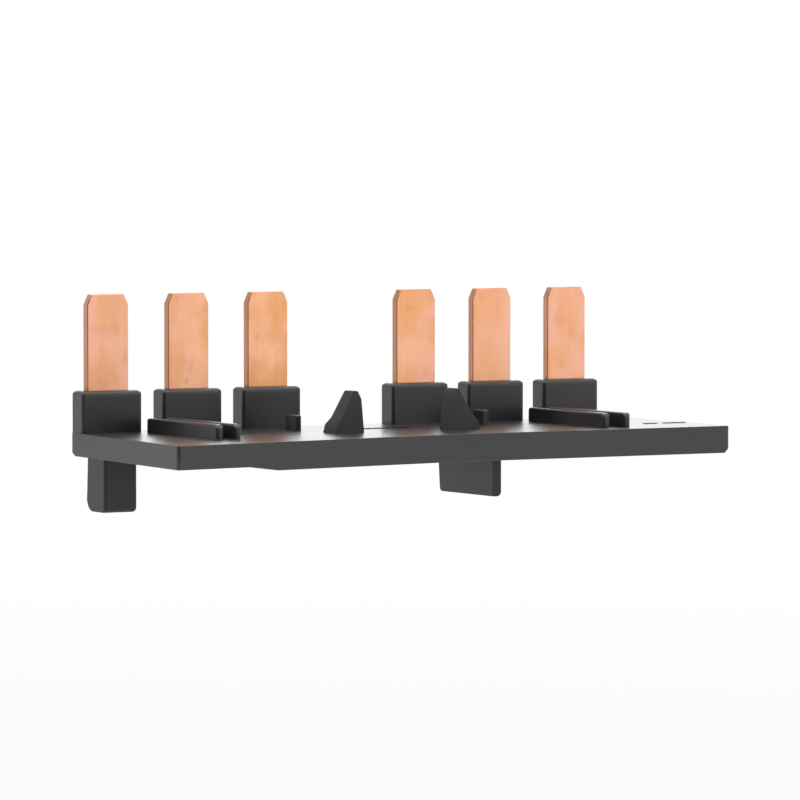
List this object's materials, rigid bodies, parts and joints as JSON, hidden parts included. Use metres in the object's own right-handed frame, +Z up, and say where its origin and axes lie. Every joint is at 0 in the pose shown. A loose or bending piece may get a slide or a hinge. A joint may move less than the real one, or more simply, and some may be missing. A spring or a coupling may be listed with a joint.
{
  "type": "reversing contactor link",
  "caption": "Flat moulded plate holding nested copper links whose upright blades join two contactors' poles in opposite order.",
  "frame": {"origin": "middle of the row of blades, on the plate's top face", "axes": "+X along the row of blades, +Y from the plate's front edge to its back edge, +Z up the blades"},
  "size_m": [0.084, 0.0346, 0.027],
  "materials": {
    "black_plastic": "satin moulded black plastic",
    "cover_plastic": "satin moulded black plastic",
    "copper": "bare sheared copper, lightly brushed and tarnished"
  },
  "bodies": {
    "root": {"housing": "black_plastic", "cover": "cover_plastic", "outer_link": "copper", "middle_link": "copper", "inner_link": "copper"}
  },
  "joints": []
}
